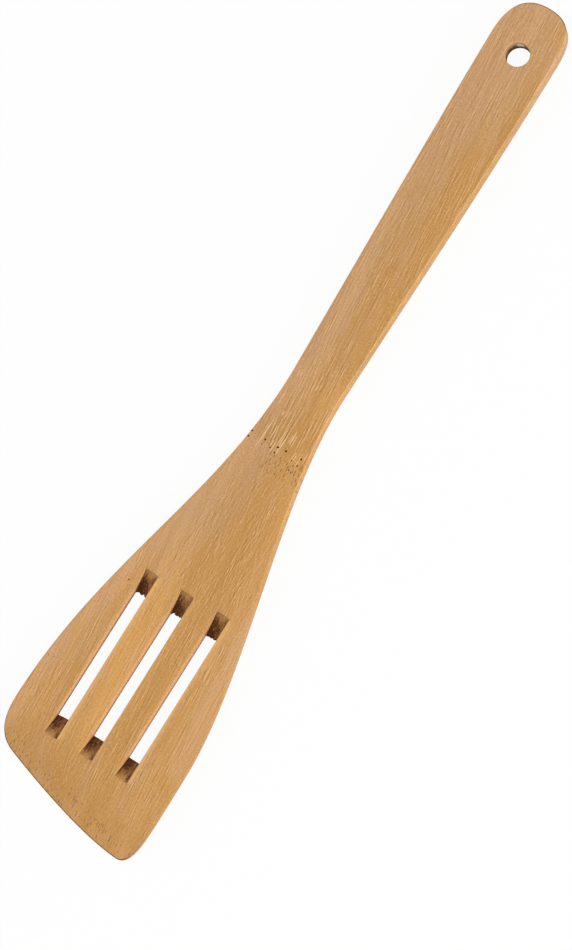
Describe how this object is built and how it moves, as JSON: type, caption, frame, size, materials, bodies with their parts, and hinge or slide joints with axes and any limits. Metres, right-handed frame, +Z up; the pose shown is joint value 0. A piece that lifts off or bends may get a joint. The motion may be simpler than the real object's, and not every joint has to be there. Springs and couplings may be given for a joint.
{
  "type": "kitchen turner",
  "caption": "One-piece bamboo turner with a tapering handle and hanging hole, a narrow neck, and a flared blade with drain slots and a slanting, thinned lip.",
  "frame": {"origin": "on the resting surface, under the middle of the turner's bounding box", "axes": "+Z up, out of the front face; +Y along the handle towards its end; +X towards the lip's long corner"},
  "size_m": [0.0606, 0.3, 0.0068],
  "materials": {
    "bamboo": "sanded and lightly oiled bamboo, satin, with fine fibres along the handle"
  },
  "bodies": {
    "root": {"turner": "bamboo"}
  },
  "joints": []
}
